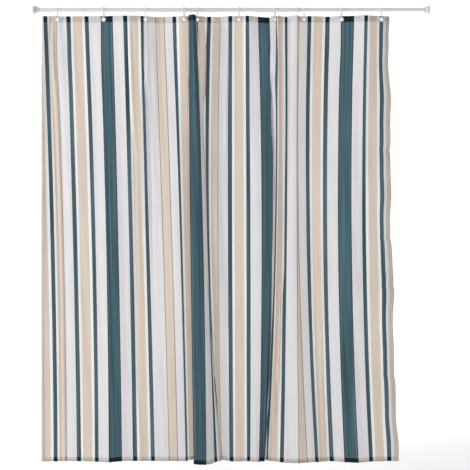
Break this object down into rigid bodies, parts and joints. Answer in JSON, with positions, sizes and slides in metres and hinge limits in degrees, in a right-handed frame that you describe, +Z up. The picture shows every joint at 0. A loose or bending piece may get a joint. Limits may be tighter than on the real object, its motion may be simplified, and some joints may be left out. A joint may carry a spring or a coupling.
{
  "type": "shower curtain",
  "caption": "Striped cloth shower curtain on snap rings, hung from a telescopic rod wedged between two walls.",
  "frame": {"origin": "centre of the left wall pad's face, on the rod's axis", "axes": "+X along the rod to the right wall, +Y towards the bath, away from the viewer, +Z up"},
  "size_m": [1.778, 0.1479, 2.05],
  "materials": {
    "pad_rubber": "matte",
    "cap_plastic": "glossy",
    "tube_enamel": "satin",
    "lock_nylon": "matte",
    "spindle_steel": "satin",
    "ring_plastic": "glossy",
    "eyelet_plastic": "glossy",
    "curtain_cloth": "matte",
    "weight_tape": "matte"
  },
  "bodies": {
    "outer_rod": {"left_wall_pad": "pad_rubber", "left_end_cap": "cap_plastic", "outer_tube": "tube_enamel", "rod_collar": "cap_plastic"},
    "rod_lock": {"lock_bush": "lock_nylon"},
    "inner_rod": {"lock_spindle": "spindle_steel", "spindle_plug": "lock_nylon", "inner_tube": "tube_enamel", "right_end_cap": "cap_plastic", "right_wall_pad": "pad_rubber"},
    "curtain": {"curtain_panel": "curtain_cloth", "hem_weight_tape": "weight_tape"},
    "ring_01_carrier": {"ring_01": "ring_plastic", "eyelet_front_01": "eyelet_plastic", "eyelet_back_01": "eyelet_plastic"},
    "ring_02_carrier": {"ring_02": "ring_plastic", "eyelet_front_02": "eyelet_plastic", "eyelet_back_02": "eyelet_plastic"},
    "ring_03_carrier": {"ring_03": "ring_plastic", "eyelet_front_03": "eyelet_plastic", "eyelet_back_03": "eyelet_plastic"},
    "ring_04_carrier": {"ring_04": "ring_plastic", "eyelet_front_04": "eyelet_plastic", "eyelet_back_04": "eyelet_plastic"},
    "ring_05_carrier": {"ring_05": "ring_plastic", "eyelet_front_05": "eyelet_plastic", "eyelet_back_05": "eyelet_plastic"},
    "ring_06_carrier": {"ring_06": "ring_plastic", "eyelet_front_06": "eyelet_plastic", "eyelet_back_06": "eyelet_plastic"},
    "ring_07_carrier": {"ring_07": "ring_plastic", "eyelet_front_07": "eyelet_plastic", "eyelet_back_07": "eyelet_plastic"},
    "ring_08_carrier": {"ring_08": "ring_plastic", "eyelet_front_08": "eyelet_plastic", "eyelet_back_08": "eyelet_plastic"},
    "ring_09_carrier": {"ring_09": "ring_plastic", "eyelet_front_09": "eyelet_plastic", "eyelet_back_09": "eyelet_plastic"},
    "ring_10_carrier": {"ring_10": "ring_plastic", "eyelet_front_10": "eyelet_plastic", "eyelet_back_10": "eyelet_plastic"}
  },
  "joints": [
    {"name": "rod_extend", "type": "slide", "parent": "outer_rod", "child": "rod_lock", "axis": [1, 0, 0], "range_m": [-0.15, 0.07]},
    {"name": "rod_twist", "type": "hinge", "parent": "rod_lock", "child": "inner_rod", "pos_m": [1, 0, 0], "axis": [1, 0, 0], "range_deg": [-180, 180]},
    {"name": "curtain_swing", "type": "hinge", "parent": "outer_rod", "child": "curtain", "pos_m": [0.8, 0, 0], "axis": [1, 0, 0], "range_deg": [-15, 15]},
    {"name": "ring_01_slide", "type": "slide", "parent": "curtain", "child": "ring_01_carrier", "axis": [1, 0, 0], "range_m": [-0.0458, 0]},
    {"name": "ring_02_slide", "type": "slide", "parent": "curtain", "child": "ring_02_carrier", "axis": [1, 0, 0], "range_m": [-0.1747, 0]},
    {"name": "ring_03_slide", "type": "slide", "parent": "curtain", "child": "ring_03_carrier", "axis": [1, 0, 0], "range_m": [-0.2913, 0]},
    {"name": "ring_04_slide", "type": "slide", "parent": "curtain", "child": "ring_04_carrier", "axis": [1, 0, 0], "range_m": [-0.3986, 0]},
    {"name": "ring_05_slide", "type": "slide", "parent": "curtain", "child": "ring_05_carrier", "axis": [1, 0, 0], "range_m": [-0.4364, 0]},
    {"name": "ring_06_slide", "type": "slide", "parent": "curtain", "child": "ring_06_carrier", "axis": [1, 0, 0], "range_m": [-0.5517, 0]},
    {"name": "ring_07_slide", "type": "slide", "parent": "curtain", "child": "ring_07_carrier", "axis": [1, 0, 0], "range_m": [-0.6516, 0]},
    {"name": "ring_08_slide", "type": "slide", "parent": "curtain", "child": "ring_08_carrier", "axis": [1, 0, 0], "range_m": [-0.7328, 0]},
    {"name": "ring_09_slide", "type": "slide", "parent": "curtain", "child": "ring_09_carrier", "axis": [1, 0, 0], "range_m": [-0.8369, 0]},
    {"name": "ring_10_slide", "type": "slide", "parent": "curtain", "child": "ring_10_carrier", "axis": [1, 0, 0], "range_m": [-0.948, 0], "deforming": ["curtain_panel", "hem_weight_tape"]}
  ],
  "couplings": [
    {"joint": "ring_01_slide", "follows": "ring_10_slide", "ratio": 0.04774},
    {"joint": "ring_02_slide", "follows": "ring_10_slide", "ratio": 0.1838},
    {"joint": "ring_03_slide", "follows": "ring_10_slide", "ratio": 0.30674},
    {"joint": "ring_04_slide", "follows": "ring_10_slide", "ratio": 0.4199},
    {"joint": "ring_05_slide", "follows": "ring_10_slide", "ratio": 0.45977},
    {"joint": "ring_06_slide", "follows": "ring_10_slide", "ratio": 0.58148},
    {"joint": "ring_07_slide", "follows": "ring_10_slide", "ratio": 0.68677},
    {"joint": "ring_08_slide", "follows": "ring_10_slide", "ratio": 0.77246},
    {"joint": "ring_09_slide", "follows": "ring_10_slide", "ratio": 0.8823}
  ]
}
